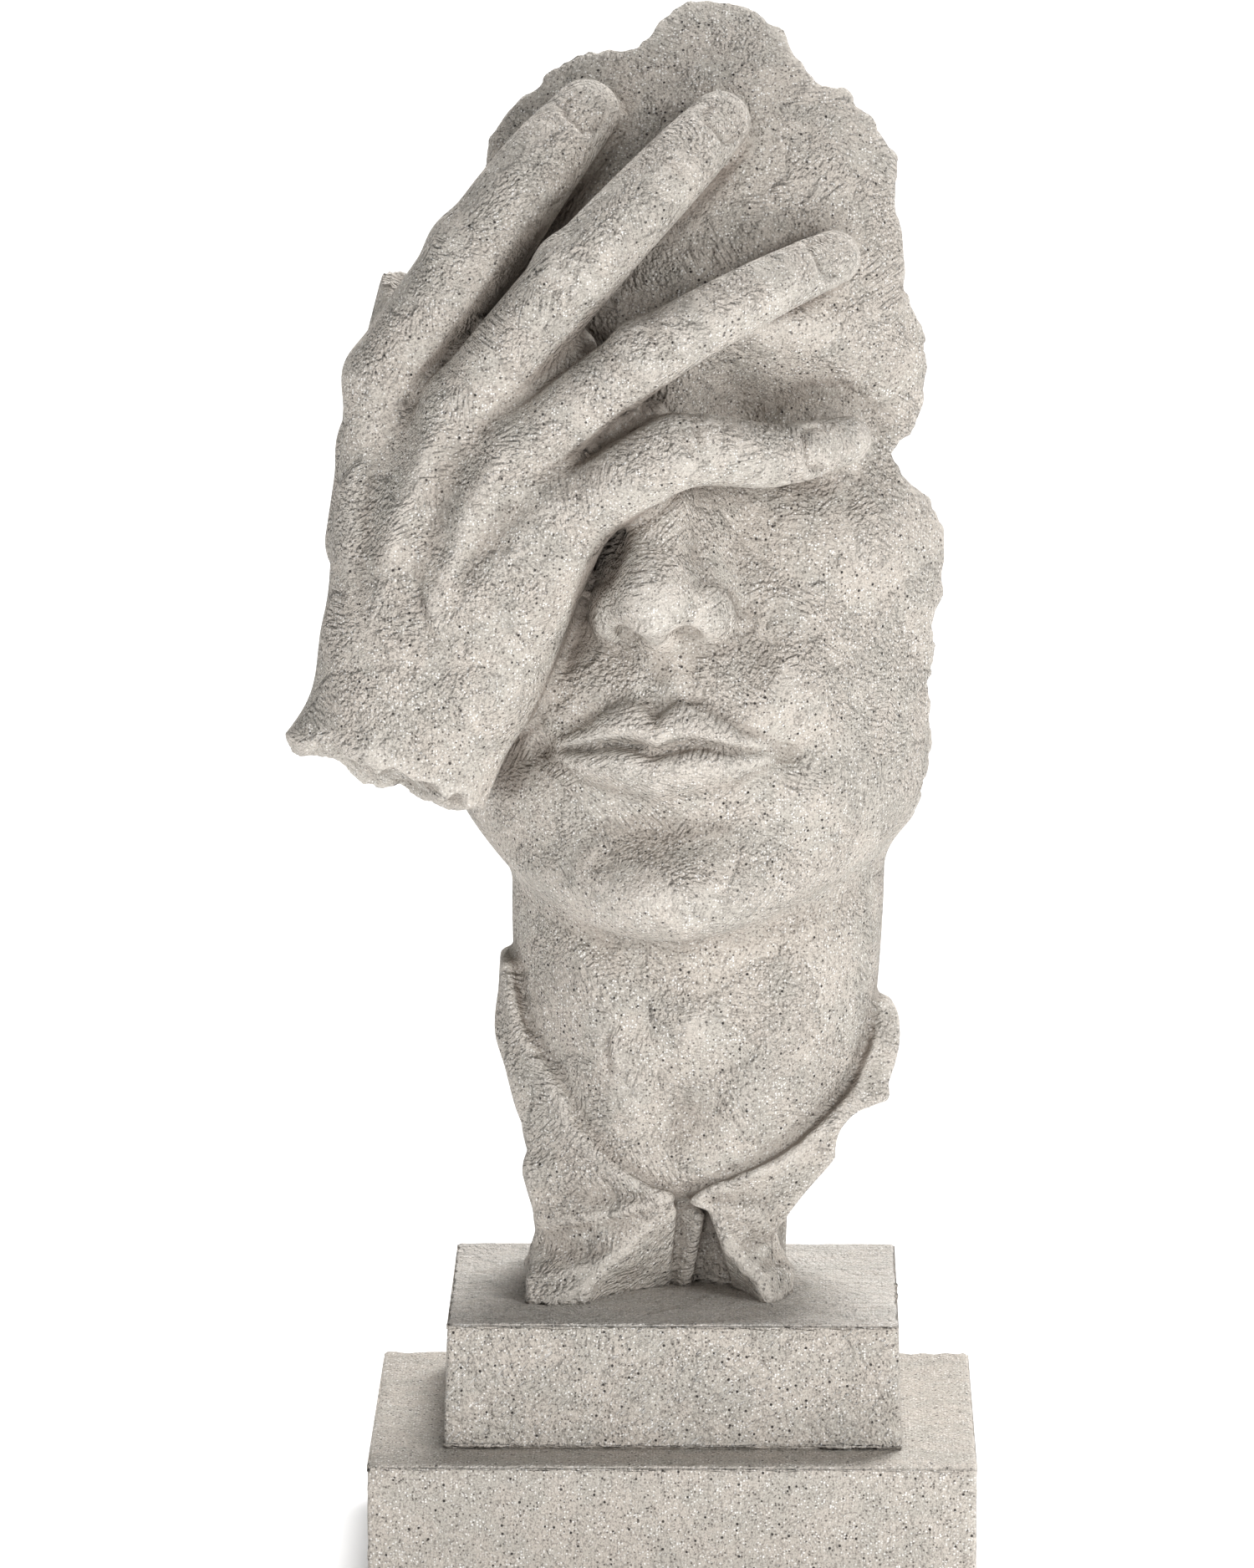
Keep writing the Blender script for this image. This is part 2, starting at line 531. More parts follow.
# The shirt collar. Each leaf is given by its inner rim on the neck and by its outer edge, from the top down.
LEAVES = [
    ([(-36.4, 1.5, 131.5), (-35.6, -1, 125), (-33.6, -3.4, 117.5), (-30.4, -6.6, 112), (-27, -9.8, 107.3),
      (-24.8, -11.4, 103.6), (-22.8, -12.6, 98.6), (-20, -14.2, 95.3), (-17.4, -15.4, 92.6), (-13, -17, 89.2),
      (-7.4, -17.8, 85.6), (-2.4, -17.8, 83), (-3.6, -17.6, 82), (-10.3, -16.8, 79.6), (-16.8, -14.8, 77.6),
      (-23, -12, 76.2), (-27, -10, 75)],
     [(-36.6, 10, 131.5), (-36.9, 6, 124.3), (-37.6, 3, 118.7), (-37.4, 1, 114.5), (-35.4, -2.5, 108.7),
      (-33.2, -5, 100.8), (-30.8, -6.5, 94.2), (-30.4, -7, 90.4), (-31.4, -8, 86.9), (-30.8, -8.5, 83.7),
      (-28.2, -8.5, 75)]),
    ([(45, 6, 121.5), (44.2, 1, 114), (42, -1.5, 108.5), (40.6, -3.5, 105.5), (38.6, -6, 102.8),
      (35.4, -8, 99.8), (31.8, -10.5, 96.8), (28.4, -12.4, 94), (23.9, -14.2, 91.2), (20.4, -15.6, 89.6),
      (15.2, -17, 87.4), (9.8, -17.8, 85.6), (6.4, -17.8, 83.5), (5.2, -17.4, 81.6), (8.4, -16.4, 80),
      (16, -13, 78), (20.6, -9, 74)],
     [(45.4, 8, 121.5), (47.2, 4, 118), (47.5, 2, 114), (46.6, 0, 109.4), (45, -2, 104.8),
      (44.6, -3.5, 101.4), (39, -6.5, 99.9), (35.8, -8, 97.5), (34.2, -8, 95), (33.5, -8, 91.8),
      (33.4, -8, 89.7), (32.2, -8, 88), (29.2, -8.5, 84.6), (26.5, -8.5, 81.4), (23.4, -8, 77.2),
      (21.4, -8, 74)]),
]
LEAF_HALF, LEAF_DEPTH, LEAF_ROUND = 1.3, 6, 1.5


def leaf_form(rim, edge):
    """A smooth leaf: at each height, a bar between the rim and the outer edge."""
    rim_x, rim_y, edge_x, edge_y = (
        through([(z, (x, y)[i]) for x, y, z in reversed(side)]) for side in (rim, edge) for i in (0, 1))
    foot, head = min(rim[-1][2], edge[-1][2]), max(rim[0][2], edge[0][2])

    def form(x, y, z):
        ax, ay = rim_x(z), rim_y(z)
        ux, uy = edge_x(z) - ax, edge_y(z) - ay
        t = np.clip(((x - ax) * ux + (y - ay) * uy) / (ux * ux + uy * uy + 0.01), 0, 1)
        px, py = x - ax - ux * t, y - ay - uy * t
        off = length(px, py - np.clip(py, 0, LEAF_DEPTH)) * 0.8 - LEAF_HALF
        return common(common(off, foot - z, LEAF_ROUND), z - head, LEAF_ROUND)
    return form


# The shirt fronts below the leaves, folded from triangular sheets. The left one has a slanting ridge and a
# hem, and the right one is a lapel that comes down to a toe.
UNDER_LEAF = [(-1.8, -17.4, 82.4), (-10.3, -16.4, 79.4), (-16.8, -14.4, 77.4), (-27.8, -8.4, 75.6)]
RIDGE = [(-6.6, -17, 76.4), (-11.6, -17, 71), (-15.8, -17.4, 67.2), (-19.4, -17.8, 63.4), (-20.6, -17.8, 58)]
FACET = [(-1.2, -15.6, 79.4), (-1.4, -12.6, 76), (-2, -8.4, 70), (-2.4, 3.5, 58)]
FACET_FOOT, BACK_TOP, BACK_FOOT = (-13.8, -5.8, 58), (-28, 12, 78), (-29, 12, 58)
FLANK, HEM = [(-29.6, -7.4, 69), (-31.2, -4, 65)], [(-30.3, -15.6, 63.4), (-30.6, -19.6, 58)]
LAPEL = [(9.3, -16, 79.5), (10.7, -16, 76), (12.3, -15.8, 71.4), (16, -15.6, 67.2), (18.8, -16, 64.6),
         (21.2, -16.6, 58)]
SIDE = [(16.5, -13, 78.5), (20.8, -7.4, 71.5), (22.4, -6, 67.4), (24.4, -5.4, 63.8), (24.2, -8, 58),
        (22, -13, 58)]
POCKET = [(8, -3, 80), (2.4, 8, 58), (15, 0, 58)]


def fan(centre, *rim):
    """Sheets from one corner to each step of a line."""
    return [(centre, a, b) for a, b in zip(rim, rim[1:])]


LEFT_FRONT = [
    *fan(RIDGE[0], *UNDER_LEAF[:3]), *fan(RIDGE[1], RIDGE[0], UNDER_LEAF[2], UNDER_LEAF[3], FLANK[0]),
    *fan(RIDGE[2], RIDGE[1], FLANK[0], HEM[0]), *fan(RIDGE[3], RIDGE[2], HEM[0], HEM[1], RIDGE[4]),
    *fan(RIDGE[0], UNDER_LEAF[0], FACET[0], FACET[1], RIDGE[1]), *fan(FACET[2], FACET[1], RIDGE[1], RIDGE[2]),
    *fan(FACET_FOOT, FACET[3], FACET[2], RIDGE[2], RIDGE[3], RIDGE[4]), (FACET[0], FACET[3], (-2, 8, 80)),
    *fan(BACK_FOOT, BACK_TOP, UNDER_LEAF[3], *FLANK, *HEM)]
RIGHT_FRONT = [
    *fan(SIDE[0], *LAPEL[:3], SIDE[1]), *fan(LAPEL[3], LAPEL[2], *SIDE[1:4], LAPEL[4]),
    *fan(LAPEL[5], LAPEL[4], *SIDE[3:]), *fan(POCKET[2], LAPEL[0], *LAPEL[2:]),
    *fan((23, 12, 58), (21, 12, 78), *SIDE[1:5])]
SHEET_HALF = 1.6
PLACKET_TOP, PLACKET_FOOT = (5.6, -10.6, 77.5), (2.2, 1, 58)
PLACKET = [(PLACKET_TOP, PLACKET_FOOT, (6, 6, 76)), (PLACKET_TOP, (0, -9, 79), PLACKET_FOOT),
           ((0, -9, 79), (-1.5, 5, 58), PLACKET_FOOT)]
PLACKET_HALF = 1.1


def collar_form():
    """The collar's leaves and fronts, the placket in the slit between them and the bodies behind."""
    sides = []
    for (rim, edge), front in zip(LEAVES, (LEFT_FRONT, RIGHT_FRONT)):
        sheets = [plate(a, b, c, SHEET_HALF) for a, b, c in front]
        sides.append(join(2.5, leaf_form(rim, edge), join(0.6, *sheets)))
    placket = join(0.6, *(plate(*corners, PLACKET_HALF) for corners in PLACKET))
    core = join(3, limb((-17, 8, 54), (-16, 8, 84), 10, 12), limb((17, 14, 54), (17, 12, 82), 7, 8),
                limb((0, 18, 54), (0, 16, 82), 8, 8), plate(*POCKET, 2))
    return within((-42, -26, 50), (52, 20, 138), join(0.8, *sides, placket, core))


def figure_form():
    """The whole figure as one form."""
    mask, hand, collar = mask_form(), hand_form(), collar_form()

    def form(x, y, z):
        bust = joined(joined(mask(x, y, z), neck_form(x, y, z), 7), collar(x, y, z), 2.2)
        return joined(bust, hand(x, y, z), 2.5)
    return form


# Mesh tools.
# A point is caught where it stays off the form by this much, or where its normal and the form's agree
# by less than this.
HEAL_ROUNDS, CAUGHT_OFF, CAUGHT_TURN = 3, 0.3, 0.45
SHELTER_REACHES = (4, 10, 18)
WEAR_ROUNDS, WEAR_GAIN, QUICK_WEAR = 3, 9, 4


def alone(piece):
    """Makes a piece the only selected object and the active one."""
    bpy.ops.object.select_all(action="DESELECT")
    piece.select_set(True)
    bpy.context.view_layer.objects.active = piece


def points_of(piece):
    points = np.empty(len(piece.data.vertices) * 3, np.float32)
    piece.data.vertices.foreach_get("co", points)
    return points.reshape(-1, 3).astype(float) / MM


def set_points(piece, points):
    piece.data.vertices.foreach_set("co", (points * MM).astype(np.float32).ravel())
    piece.data.update()


def normals_of(piece):
    normals = np.empty(len(piece.data.vertices) * 3, np.float32)
    piece.data.vertex_normals.foreach_get("vector", normals)
    return normals.reshape(-1, 3).astype(float)


def slope_of(points, form, d, step=0.08):
    """The way a form grows at each point, where it has the value d."""
    x, y, z = points.T
    return np.stack([form(x + step, y, z) - d, form(x, y + step, z) - d, form(x, y, z + step) - d], 1) / step


class Links:
    """Which points of a mesh an edge joins, for averages over neighbours."""

    def __init__(self, piece):
        edges = np.empty(len(piece.data.edges) * 2, np.int32)
        piece.data.edges.foreach_get("vertices", edges)
        self.a, self.b = edges.reshape(-1, 2).T
        self.size = len(piece.data.vertices)
        self.count = np.maximum(np.bincount(edges, minlength=self.size), 1)

    def average(self, values):
        columns = values.reshape(self.size, -1)
        total = np.stack([np.bincount(self.a, column[self.b], self.size)
                          + np.bincount(self.b, column[self.a], self.size) for column in columns.T], 1)
        return (total / self.count[:, None]).reshape(values.shape)


def settle(points, form, rounds, reach=0.8):
    """Moves each point onto a form's surface, where that brings it nearer."""
    for _ in range(rounds):
        d = form(*points.T)
        slope = slope_of(points, form, d)
        steep = np.maximum(0.3, (slope * slope).sum(1))
        moved = points - np.clip(d[:, None] * slope / steep[:, None], -reach, reach)
        nearer = np.abs(form(*moved.T)) < np.abs(d)
        points = np.where(nearer[:, None], moved, points)
    return points


def even_out(points, normals, links, share=0.5):
    """Slides points along the surface towards the middle of their neighbours."""
    pull = links.average(points) - points
    pull -= (pull * normals).sum(1)[:, None] * normals
    return points + share * pull


def heal(piece, form, links):
    """Irons out places where the surface is caught in a hollow of the form or folded over itself."""
    for _ in range(HEAL_ROUNDS):
        points = points_of(piece)
        d = form(*points.T)
        slope = slope_of(points, form, d)
        facing = (normals_of(piece) * slope).sum(1) / np.maximum(length(*slope.T), 0.01)
        caught = ((np.abs(d) > CAUGHT_OFF) | (facing < CAUGHT_TURN)).astype(float)
        caught = (caught > 0) | (links.average(caught) > 0)
        for _ in range(3):
            points[caught] = links.average(points)[caught]
        points[caught] = settle(points[caught], form, 2)
        set_points(piece, points)


def shelter(points, normals, form):
    """How far the space in front of each point is closed in, from 0 in the open to 1 deep in a gap."""
    total = 0
    for reach in SHELTER_REACHES:
        total += np.clip(1 - form(*(points + normals * reach).T) / reach, 0, 1)
    return total / len(SHELTER_REACHES)


def ridges(points, normals, links, softer):
    """How far each point stands out from its neighbours: 0.5 on a plain surface, more on a ridge."""
    curve = ((points - links.average(points)) * normals).sum(1) / softer
    for _ in range(WEAR_ROUNDS):
        curve = 0.5 * curve + 0.5 * links.average(curve)
    return np.clip(0.5 + curve * WEAR_GAIN, 0, 1)


def copy_of(node, name):
    """A copy of a solid's mesh as a new piece, with its loose triangles merged."""
    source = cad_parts[node]
    piece = bpy.data.objects.new(name, source.data.copy())
    bpy.context.scene.collection.objects.link(piece)
    piece.data.materials.clear()
    alone(piece)
    bpy.ops.object.mode_set(mode="EDIT")
    bpy.ops.mesh.select_all(action="SELECT")
    bpy.ops.mesh.remove_doubles(threshold=1e-6)
    bpy.ops.object.mode_set(mode="OBJECT")
    return piece


def keep_attribute(piece, name, values):
    attribute = piece.data.attributes.new(name, "FLOAT", "POINT")
    attribute.data.foreach_set("value", values.astype(np.float32))


# Shader tools.
class Wire:
    """A node's output, so that shader maths reads as sums."""

    def __init__(self, board, socket):
        self.board, self.socket = board, socket

    def _sum(self, operation, *values):
        return self.board.add("ShaderNodeMath", {"operation": operation}, dict(enumerate(values)))

    def __add__(self, other):
        return self._sum("ADD", self, other)

    def __sub__(self, other):
        return self._sum("SUBTRACT", self, other)

    def __rsub__(self, other):
        return self._sum("SUBTRACT", other, self)

    def __mul__(self, other):
        return self._sum("MULTIPLY", self, other)

    __radd__, __rmul__ = __add__, __mul__


class Board:
    """The node tree of one material."""

    def __init__(self, name):
        self.material = bpy.data.materials.new(name)
        self.material.use_nodes = True
        self.tree = self.material.node_tree
        self.shader = self.tree.nodes["Principled BSDF"]
        self.at = self.add("ShaderNodeTexCoord", {}, {}, "Object")

    def add(self, kind, settings, inputs, output=0):
        """Any node, from its type, its settings and the values or wires of its inputs."""
        node = self.tree.nodes.new(kind)
        for key, value in settings.items():
            setattr(node, key, value)
        for key, value in inputs.items():
            self.feed(node.inputs[key], value)
        return Wire(self, node.outputs[output])

    def feed(self, socket, value):
        if isinstance(value, Wire):
            self.tree.links.new(value.socket, socket)
        else:
            socket.default_value = value

    def set(self, **inputs):
        """Feeds the shader's sockets, named with underscores for spaces."""
        for key, value in inputs.items():
            self.feed(self.shader.inputs[key.replace("_", " ")], value)

    def noise(self, size_mm, detail, rough, stretch=(1, 1, 1), turn=(0, 0, 0)):
        place = self.add("ShaderNodeMapping", {"vector_type": "TEXTURE"}, {
            "Vector": self.at, "Rotation": turn, "Scale": [size_mm * MM * s for s in stretch]})
        return self.add("ShaderNodeTexNoise", {}, {
            "Vector": place, "Scale": 1.0, "Detail": detail, "Roughness": rough})

    def cells(self, size_mm, output="Distance"):
        return self.add("ShaderNodeTexVoronoi", {}, {"Vector": self.at, "Scale": 1 / (size_mm * MM)}, output)

    def spots(self, size_mm, share, outer, inner):
        """Round spots in some cells, full inside one radius and gone at the other, as parts of a cell."""
        chosen = self.add("ShaderNodeSeparateColor", {}, {"Color": self.cells(size_mm, output="Color")}, 0)
        return self.between(self.cells(size_mm), outer, inner) * self.between(chosen, 1 - share, 1.03 - share)

    def between(self, value, low, high, to_low=0.0, to_high=1.0):
        """A value's place between two bounds, kept inside them and eased."""
        return self.add("ShaderNodeMapRange", {"interpolation_type": "SMOOTHSTEP"}, {
            "Value": value, "From Min": low, "From Max": high, "To Min": to_low, "To Max": to_high})

    def blend(self, factor, a, b):
        return self.add("ShaderNodeMix", {"data_type": "RGBA"}, {0: factor, 6: a, 7: b}, 2)

    def bump(self, height, depth_mm):
        return self.add("ShaderNodeBump", {}, {"Height": height, "Distance": depth_mm * MM, "Strength": 1.0})

    def attribute(self, name):
        return self.add("ShaderNodeAttribute", {"attribute_name": name}, {}, "Fac")


def rgb(shade):
    return (*shade, 1.0)


# Sizes of the stone's patterns, in millimetres.
MOTTLE, PATCH, FINE, SAND, LUMPS, CROWD = 8, 32, 0.5, 1.3, 3.4, 3.6
WHITE, SPECK, BLACK = 0.62, 0.72, 1.8
STROKE, STROKE_LONG, STROKE_PATCH, WORKED_PATCH = 0.8, 7, 11, 13
STREAK, STREAK_LONG, PITTING, SCRATCH, SCRATCH_LONG = 0.55, 22, 2.4, 0.42, 16


def speckled_stone(name, look, strokes=1.0, brushed=False):
    """Mottled grey-beige cast stone, dense with white grains, with brown and black specks and tool strokes.

    A brushed block has fine streaks and pits on its top and a few pale scratches."""
    board = Board(name)
    mottle, patch = board.noise(MOTTLE, 4, 0.6), board.noise(PATCH, 3, 0.5)
    base = board.blend(board.between(mottle * 0.65 + patch * 0.35, 0.42, 0.6), rgb(look.warm), rgb(look.cool))
    fine, sand = board.noise(FINE, 1, 0.6), board.noise(SAND, 3, 0.65)
    base = board.blend(board.between(fine * 0.7 + sand * 0.3, 0.46, 0.65, 0, 0.68), base, rgb(look.shade))

    crowd = board.between(board.noise(CROWD, 3, 0.6), 0.36, 0.6, 0.3, 1)
    white = board.spots(WHITE, 0.47, 0.4, 0.26) * crowd
    base = board.blend(white, base, rgb(look.grain))
    speck = board.spots(SPECK, 0.22, 0.36, 0.25)
    base = board.blend(speck * 0.85, base, rgb(look.speck))
    black = board.spots(BLACK, 0.36, 0.19, 0.13)
    base = board.blend(black * 0.95, base, rgb(look.black))

    way = board.add("ShaderNodeVectorMath", {"operation": "SCALE"}, {
        0: board.cells(STROKE_PATCH, output="Color"), "Scale": 2 * math.pi})
    stroke = board.noise(STROKE, 1, 0.4, (1, 1, STROKE_LONG), way)
    worked = board.between(board.noise(WORKED_PATCH, 2, 0.5, turn=(1, 2, 1)), 0.42, 0.51)
    height = sand * 1.2 + fine * 0.5 + board.noise(LUMPS, 2, 0.5) * 0.9 - speck * 0.25 - black * 0.4
    height = height + stroke * worked * (2.2 * strokes)
    if brushed:
        streak = board.noise(STREAK, 4, 0.65, (STREAK_LONG, 1, 1))
        z = board.add("ShaderNodeSeparateXYZ", {}, {0: board.at}, 2)
        top = board.between(z, (DECK - 0.8) * MM, (DECK - 0.2) * MM)
        height = height + streak * top * 0.5 + board.noise(PITTING, 3, 0.6) * top * 1.2
        paler = board.between(streak, 0.56, 0.4) * top * 0.25 + top * 0.12
        base = board.blend(paler, base, rgb(look.grain))
        scratch = board.noise(SCRATCH, 0, 0, (1, 1, SCRATCH_LONG), (0.2, 0.75, 0.1))
        scratch = board.between(scratch, 0.72, 0.77)
        height = height - scratch * 0.8
        base = board.blend(scratch * 0.5, base, rgb(look.grain))

    wear, closed = board.attribute("wear"), board.attribute("shelter")
    base = board.blend(board.between(wear, 0.6, 0.95, 0, 0.35), base, rgb(look.worn))
    base = board.blend(board.between(wear, 0.44, 0.1, 0, 0.35), base, rgb(look.deep))
    base = board.blend(board.between(closed, 0.5, 0.92, 0, 0.85), base, rgb(look.deep))
    board.set(Base_Color=base, Roughness=board.between(mottle, 0.35, 0.65, 0.8, 0.94),
              Normal=board.bump(height, look.relief), Specular_IOR_Level=0.3)
    return board.material


def colour(name, description, default):
    return FloatVectorProperty(name=name, description=description, default=default, subtype="COLOR")


def strength(name, description, default):
    return FloatProperty(name=name, description=description, default=default, min=0)


class StoneLook(bpy.types.PropertyGroup):
    """The colours and relief of the speckled stone."""
    warm: colour("Warm", "Warm parts of the mottling", (0.575, 0.522, 0.463))
    cool: colour("Cool", "Cool parts of the mottling", (0.525, 0.49, 0.438))
    shade: colour("Shade", "Fine darker sand", (0.23, 0.207, 0.184))
    grain: colour("Grain", "White grains", (0.92, 0.9, 0.87))
    speck: colour("Speck", "Brown specks", (0.13, 0.115, 0.1))
    black: colour("Black", "Sparse black specks", (0.035, 0.03, 0.028))
    worn: colour("Worn", "Rubbed ridges", (0.7, 0.65, 0.59))
    deep: colour("Deep", "Crevices", (0.26, 0.22, 0.185))
    relief: FloatProperty(name="Relief", description="Height of the fine relief, in millimetres",
                          default=0.8, min=0, max=2)


class FigureSizes(bpy.types.PropertyGroup):
    """The sizes of the carved figure's mesh."""
    cell: FloatProperty(name="Cell", description="Grid that the figure is carved on, in millimetres",
                        default=1.0, min=0.6, max=4)
    triangles: IntProperty(name="Triangles", description="Most triangles in the carved figure",
                           default=196000, min=20000, max=199000)


class StageLook(bpy.types.PropertyGroup):
    """The strength of the studio's lights."""
    key: strength("Key", "Soft light from the front right", 1.45)
    top: strength("Top", "Light from above and behind", 3.9)
    fill: strength("Fill", "Weak light from the front left", 0.1)
    sky: strength("Sky", "Even light from all round", 0.18)
    glow: strength("Glow", "The floor's own light", 0.2)
    low: FloatProperty(name="Low", description="Soft panel near the foot", default=1.1, min=0, unit="POWER")


class SculptureSettings(bpy.types.PropertyGroup):
    """All settings of the sculpture."""
    stone: PointerProperty(type=StoneLook)
    figure: PointerProperty(type=FigureSizes)
    stage: PointerProperty(type=StageLook)


QUICK_CELL, FOOT_BAND = 2.0, 0.6


class SCULPTURE_OT_figure(bpy.types.Operator):
    """Carve the mask, the hand, the neck and the collar"""
    bl_idname = "sculpture.figure"
    bl_label = "Figure"

    def execute(self, context):
        settings = context.scene.sculpture
        low, high = (np.array(corner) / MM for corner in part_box("figure"))
        form = figure_form()
        piece = copy_of("figure", "carved_figure")
        self.remesh(piece, settings.figure.cell)
        self.carve(piece, form, low, high)
        self.lighten(piece, settings.figure.triangles)
        links = Links(piece)
        points, normals = np.clip(points_of(piece), low, high), normals_of(piece)
        set_points(piece, points)
        keep_attribute(piece, "wear", ridges(points, normals, links, 1))
        keep_attribute(piece, "shelter", shelter(points, normals, form))
        bpy.ops.object.shade_smooth()
        piece.data.materials.append(speckled_stone("figure_stone", settings.stone))
        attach(piece, "root")
        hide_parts("figure")
        return {"FINISHED"}

    def remesh(self, piece, cell):
        """Gives the piece an even mesh."""
        alone(piece)
        piece.data.remesh_voxel_size = cell * MM
        piece.data.use_remesh_fix_poles = False
        bpy.ops.object.voxel_remesh()

    def carve(self, piece, form, low, high):
        """Draws the mesh onto the form, with its foot flat and all of it inside the solid's box."""
        links, points = Links(piece), points_of(piece)
        foot = points[:, 2] < low[2] + FOOT_BAND
        for _ in range(2):
            points = settle(points, form, 2)
            points = even_out(points, normals_of(piece), links)
            points[foot, 2] = low[2]
            set_points(piece, points)
        set_points(piece, settle(points, form, 1))
        heal(piece, form, links)
        points = points_of(piece)
        points[foot, 2] = low[2]
        set_points(piece, np.clip(points, low, high))

    def lighten(self, piece, triangles):
        """Leaves the piece with no more triangles than asked for."""
        fewer = piece.modifiers.new("Fewer", "DECIMATE")
        fewer.ratio = min(1, triangles / (2 * len(piece.data.polygons)))
        alone(piece)
        bpy.ops.object.modifier_apply(modifier=fewer.name)


# The blocks: how far each side leans in at the top, in millimetres, the strength of its tool strokes and
# whether its top is brushed. Their edges are rounded, then chipped at random.
BLOCKS = {"plinth_upper_block": (0.9, 0.6, True), "plinth_lower_block": (0.0, 0.0, False)}
BLOCK_CUTS, EDGE_ROUND, EDGE_STEPS = 50, 0.9, 3
BLOCK_WAVE, CHIP_DEPTH, CHIP_REACH, WORN_REACH = 0.05, 0.6, 1.8, 0.9


def on_box_edge(edge, low, high):
    """Whether an edge of a mesh lies along an edge of the box."""
    sides = 0
    for axis in range(3):
        places = [v.co[axis] / MM for v in edge.verts]
        sides += all(any(abs(place - side) < 0.01 for side in (low[axis], high[axis])) for place in places)
    return sides >= 2


class SCULPTURE_OT_blocks(bpy.types.Operator):
    """Finish the two plinth blocks"""
    bl_idname = "sculpture.blocks"
    bl_label = "Plinth blocks"

    def execute(self, context):
        stone = context.scene.sculpture.stone
        for node, (lean, strokes, brushed) in BLOCKS.items():
            low, high = (np.array(corner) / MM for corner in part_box(node))
            piece = self.rounded_block(node + "_finished", low, high)
            self.weather(piece, low, high, lean)
            alone(piece)
            bpy.ops.object.shade_smooth()
            piece.data.materials.append(speckled_stone(node + "_stone", stone, strokes, brushed))
            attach(piece, "root")
            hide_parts(node)
        return {"FINISHED"}

    def rounded_block(self, name, low, high):
        bpy.ops.object.select_all(action="DESELECT")
        bpy.ops.mesh.primitive_cube_add(size=1)
        piece = bpy.context.object
        piece.name = piece.data.name = name
        bpy.ops.object.mode_set(mode="EDIT")
        bpy.ops.transform.resize(value=tuple((high - low) * MM))
        bpy.ops.transform.translate(value=tuple((high + low) / 2 * MM))
        bpy.ops.mesh.subdivide(number_cuts=BLOCK_CUTS)
        for edge in bmesh.from_edit_mesh(piece.data).edges:
            edge.select = on_box_edge(edge, low, high)
        bpy.ops.mesh.bevel(offset=EDGE_ROUND * MM, segments=EDGE_STEPS, affect="EDGES")
        bpy.ops.object.mode_set(mode="OBJECT")
        return piece

    def weather(self, piece, low, high, lean):
        """Leans the sides in, and gives the faces a slight wave and the edges their chips."""
        size, middle = high - low, (high + low) / 2
        points = points_of(piece)
        up = (points[:, 2] - low[2]) / size[2]
        for axis in (0, 1):
            points[:, axis] -= (points[:, axis] - middle[axis]) * lean * up * 2 / size[axis]
        inner = np.minimum(np.abs(points - low), np.abs(points - high))
        near_edge = np.sort(inner, axis=1)[:, 1]
        wave, chip = Grain(21, 7)(*points.T), Grain(22, 2.4)(*points.T)
        depth = BLOCK_WAVE + BLOCK_WAVE * wave
        depth += bell(near_edge / CHIP_REACH) * np.clip(chip + 0.2, 0, 1) * CHIP_DEPTH
        depth[points[:, 2] < low[2] + 0.05] = 0
        points = points - normals_of(piece) * depth[:, None]
        set_points(piece, np.clip(points, low, high))
        keep_attribute(piece, "wear", 0.5 + 0.45 * bell(near_edge / WORN_REACH))
        keep_attribute(piece, "shelter", np.zeros(len(points)))


# The stage, in metres. Each sun: the way to it and its disc's width in degrees. The panel is by the foot.
FLOOR_SIZE, FLOOR_SHADE = 60, (0.92, 0.92, 0.92)
SUNS = {"key": ((1.1, -1.0, 0.45), 20), "top": ((0.32, 0.95, 1.5), 24), "fill": ((-1.0, -0.9, 0.5), 70)}
PANEL_AT, PANEL_TURNS, PANEL_SIZE = (0.08, -0.55, 0.05), (math.radians(94), 0, 0.14), (0.5, 0.1)
# The camera: its place, its tilt down and its roll in radians, and its focal length in pixels of a picture
# of this height.
CAMERA_AT, CAMERA_TILT, CAMERA_ROLL = (0.0199, -2.308, 0.5735), 0.1728, 0.0131
FOCAL_PIXELS, PICTURE_HEIGHT, SENSOR_MM = 12920, 1876, 36


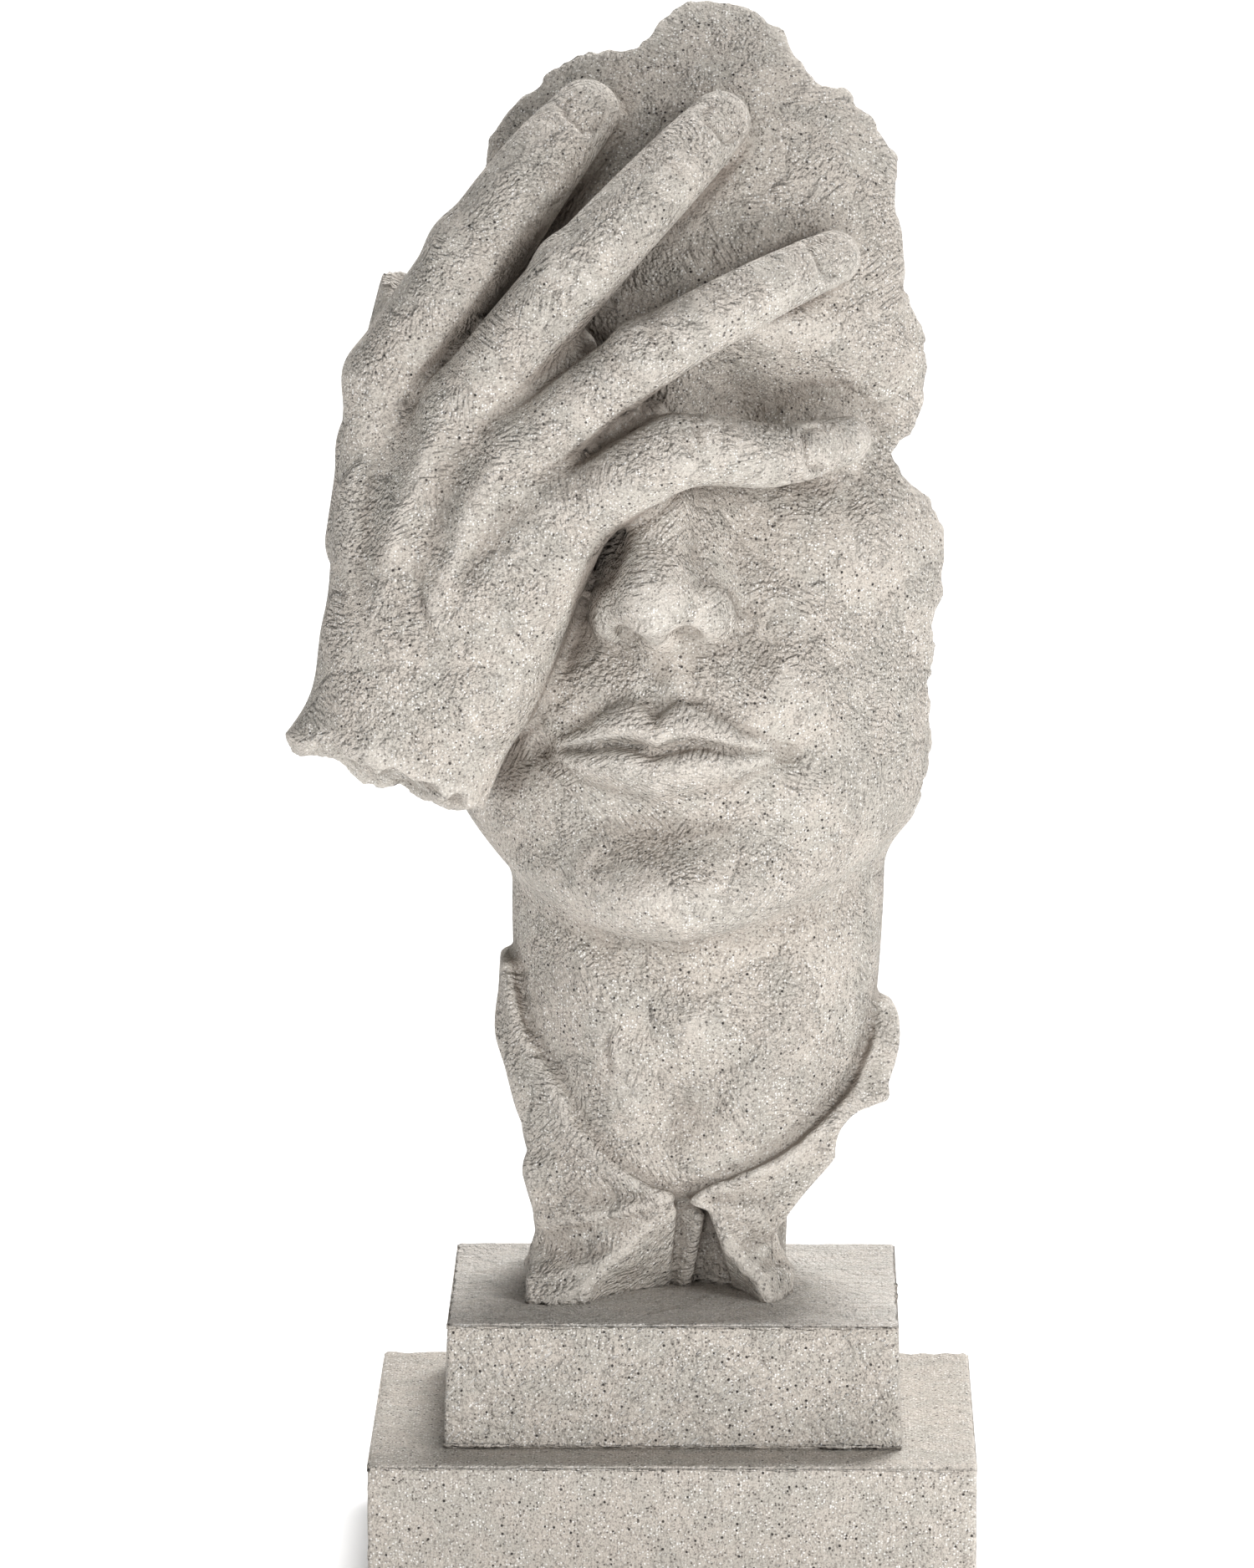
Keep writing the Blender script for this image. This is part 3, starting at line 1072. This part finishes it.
class SCULPTURE_OT_stage(bpy.types.Operator):
    """Set the pale floor, the soft lights and the camera"""
    bl_idname = "sculpture.stage"
    bl_label = "Stage"

    def execute(self, context):
        stage = context.scene.sculpture.stage
        self.floor(stage)
        self.lights(stage)
        self.world(context.scene, stage)
        self.camera(context.scene)
        return {"FINISHED"}

    def floor(self, stage):
        bpy.ops.object.select_all(action="DESELECT")
        bpy.ops.mesh.primitive_plane_add(size=FLOOR_SIZE)
        floor = bpy.context.object
        floor.name = "floor"
        board = Board("pale_floor")
        board.set(Base_Color=rgb(FLOOR_SHADE), Roughness=0.95, Emission_Color=rgb((1, 1, 1)),
                  Emission_Strength=stage.glow)
        floor.data.materials.append(board.material)

    def lights(self, stage):
        for name, (toward, spread) in SUNS.items():
            turn = Vector(toward).to_track_quat("Z", "Y").to_euler()
            bpy.ops.object.light_add(type="SUN", location=Vector(toward).normalized() * 2, rotation=turn)
            light = bpy.context.object
            light.name = name
            light.data.energy = getattr(stage, name)
            light.data.angle = math.radians(spread)
        bpy.ops.object.light_add(type="AREA", location=PANEL_AT, rotation=PANEL_TURNS)
        panel = bpy.context.object
        panel.name = "low"
        panel.data.shape = "RECTANGLE"
        panel.data.size, panel.data.size_y = PANEL_SIZE
        panel.data.energy = stage.low

    def world(self, scene, stage):
        scene.world = scene.world or bpy.data.worlds.new("world")
        scene.world.use_nodes = True
        background = scene.world.node_tree.nodes["Background"]
        background.inputs["Color"].default_value = rgb((1, 1, 1))
        background.inputs["Strength"].default_value = stage.sky
        scene.view_settings.view_transform = "Standard"

    def camera(self, scene):
        bpy.ops.object.camera_add(
            location=CAMERA_AT, rotation=(math.pi / 2 - CAMERA_TILT, 0, CAMERA_ROLL))
        camera = bpy.context.object
        camera.name = "camera"
        camera.data.sensor_width = SENSOR_MM
        camera.data.lens = FOCAL_PIXELS / PICTURE_HEIGHT * SENSOR_MM
        scene.camera = camera


STEPS = (SCULPTURE_OT_figure, SCULPTURE_OT_blocks, SCULPTURE_OT_stage)


class SCULPTURE_PT_panel(bpy.types.Panel):
    """Lists the settings and the steps"""
    bl_idname = "SCULPTURE_PT_panel"
    bl_label = "Face Sculpture"
    bl_space_type = "VIEW_3D"
    bl_region_type = "UI"
    bl_category = "Sculpture"

    def draw(self, context):
        settings = context.scene.sculpture
        for group in (settings.figure, settings.stone, settings.stage):
            for name in group.bl_rna.properties.keys():
                if name not in ("rna_type", "name"):
                    self.layout.prop(group, name)
        for step in STEPS:
            self.layout.operator(step.bl_idname)


CLASSES = (StoneLook, FigureSizes, StageLook, SculptureSettings, *STEPS, SCULPTURE_PT_panel)


def register():
    for cls in CLASSES:
        bpy.utils.register_class(cls)
    bpy.types.Scene.sculpture = PointerProperty(type=SculptureSettings)


def unregister():
    del bpy.types.Scene.sculpture
    for cls in reversed(CLASSES):
        bpy.utils.unregister_class(cls)


def main():
    register()
    bpy.ops.sculpture.figure()
    bpy.ops.sculpture.blocks()
    bpy.ops.sculpture.stage()


if __name__ == "__main__":
    main()
